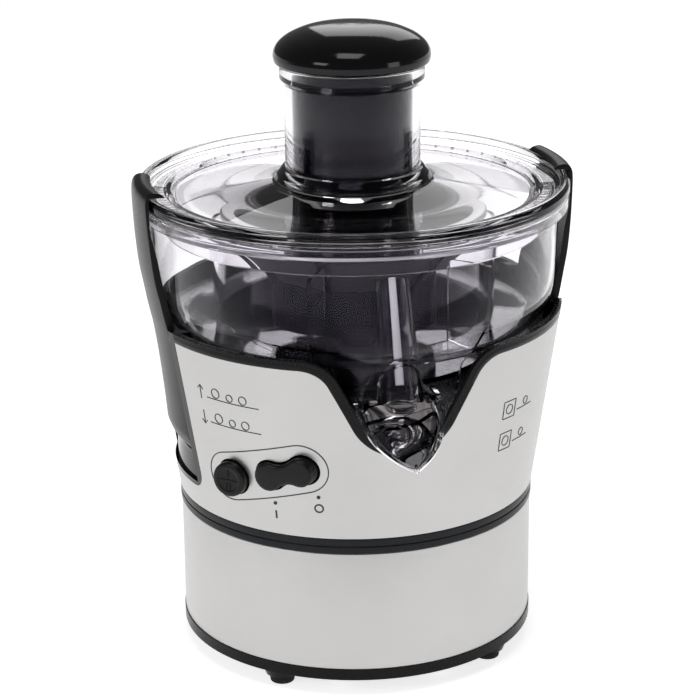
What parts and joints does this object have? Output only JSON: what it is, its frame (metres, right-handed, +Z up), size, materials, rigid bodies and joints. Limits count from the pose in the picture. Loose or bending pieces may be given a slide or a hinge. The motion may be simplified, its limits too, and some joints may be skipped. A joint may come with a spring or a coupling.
{
  "type": "centrifugal juicer",
  "caption": "Electric centrifugal juicer with steel base, clear bowl and lid, side clamps, feed tube with pusher, front spout and a button and rocker panel.",
  "frame": {"origin": "point on the table under the motor shaft's axis, in the plane of the feet's undersides", "axes": "+Z up along the shaft and the feed tube, -Y towards the spout and the front, +X to the right clamp seen from the front"},
  "size_m": [0.2148, 0.2217, 0.3105],
  "materials": {
    "black_plastic": "satin moulded",
    "band_plastic": "satin ribbed",
    "clamp_plastic": "fine satin",
    "gloss_black": "polished",
    "rubber": "matt",
    "brushed_shell": "satin brushed",
    "bright_steel": "bright",
    "bracket_alloy": "pressed",
    "lamination": "varnished laminations",
    "copper": "varnished copper",
    "board": "solder mask",
    "switch_plastic": "moulded",
    "clear_plastic": "clear moulded plastic",
    "white_plastic": "moulded",
    "print_ink": "printed"
  },
  "bodies": {
    "housing": {"bottom_cover": "black_plastic", "rubber_feet": "rubber", "cover_screws": "bright_steel", "base_sleeve": "brushed_shell", "middle_band": "band_plastic", "upper_shell": "brushed_shell", "inner_housing": "black_plastic", "side_insert_left": "black_plastic", "side_insert_right": "black_plastic", "hinge_pin_left": "bright_steel", "hinge_pin_right": "bright_steel", "cord_inlet": "black_plastic", "circuit_board": "board", "capacitor": "switch_plastic", "safety_switch": "switch_plastic", "speed_switch": "switch_plastic", "power_switch": "switch_plastic", "motor_stator": "lamination", "field_windings": "copper", "motor_bracket_lower": "bracket_alloy", "motor_bracket_upper": "bracket_alloy", "bearing_lower": "bright_steel", "bearing_upper": "bright_steel", "brush_holders": "black_plastic", "carbon_brushes": "switch_plastic", "rubber_mounts": "rubber", "motor_screws": "bright_steel", "shaft_seal": "rubber", "juice_bowl": "clear_plastic", "spout": "clear_plastic", "drip_rod": "white_plastic", "drip_plug": "clear_plastic", "lid_seal": "white_plastic", "lid": "clear_plastic", "panel_outline": "print_ink", "panel_marks": "print_ink"},
    "rotor": {"motor_shaft": "bright_steel", "armature": "lamination", "armature_winding": "copper", "commutator": "copper", "cooling_fan": "white_plastic", "drive_coupling": "black_plastic", "basket_frame": "black_plastic", "filter_mesh": "bright_steel", "grater_disc": "bright_steel", "basket_rim": "bright_steel"},
    "left_clamp": {"clamp_left": "clamp_plastic"},
    "right_clamp": {"clamp_right": "clamp_plastic"},
    "pusher": {"pusher_body": "gloss_black", "pusher_cap": "gloss_black"},
    "button": {"speed_button": "gloss_black"},
    "rocker": {"power_rocker": "gloss_black"}
  },
  "joints": [
    {"name": "rotor_spin", "type": "hinge", "parent": "housing", "child": "rotor", "pos_m": [0, 0, 0.1], "axis": [0, 0, 1], "continuous": true},
    {"name": "left_clamp_hinge", "type": "hinge", "parent": "housing", "child": "left_clamp", "pos_m": [-0.08503, 0, 0.118], "axis": [0, -1, 0], "range_deg": [0, 45]},
    {"name": "right_clamp_hinge", "type": "hinge", "parent": "housing", "child": "right_clamp", "pos_m": [0.08503, 0, 0.118], "axis": [0, 1, 0], "range_deg": [0, 45]},
    {"name": "pusher_slide", "type": "slide", "parent": "housing", "child": "pusher", "axis": [0, 0, 1], "range_m": [0, 0.11]},
    {"name": "speed_button_press", "type": "slide", "parent": "housing", "child": "button", "axis": [0.6691, 0.7431, 0], "range_m": [0, 0.003], "stiffness_N_per_m": 400},
    {"name": "power_rocker_tilt", "type": "hinge", "parent": "housing", "child": "rocker", "pos_m": [-0.04977, -0.07426, 0.1157], "axis": [-0.2048, 0.1844, 0.9613], "range_deg": [-4, 4]}
  ]
}
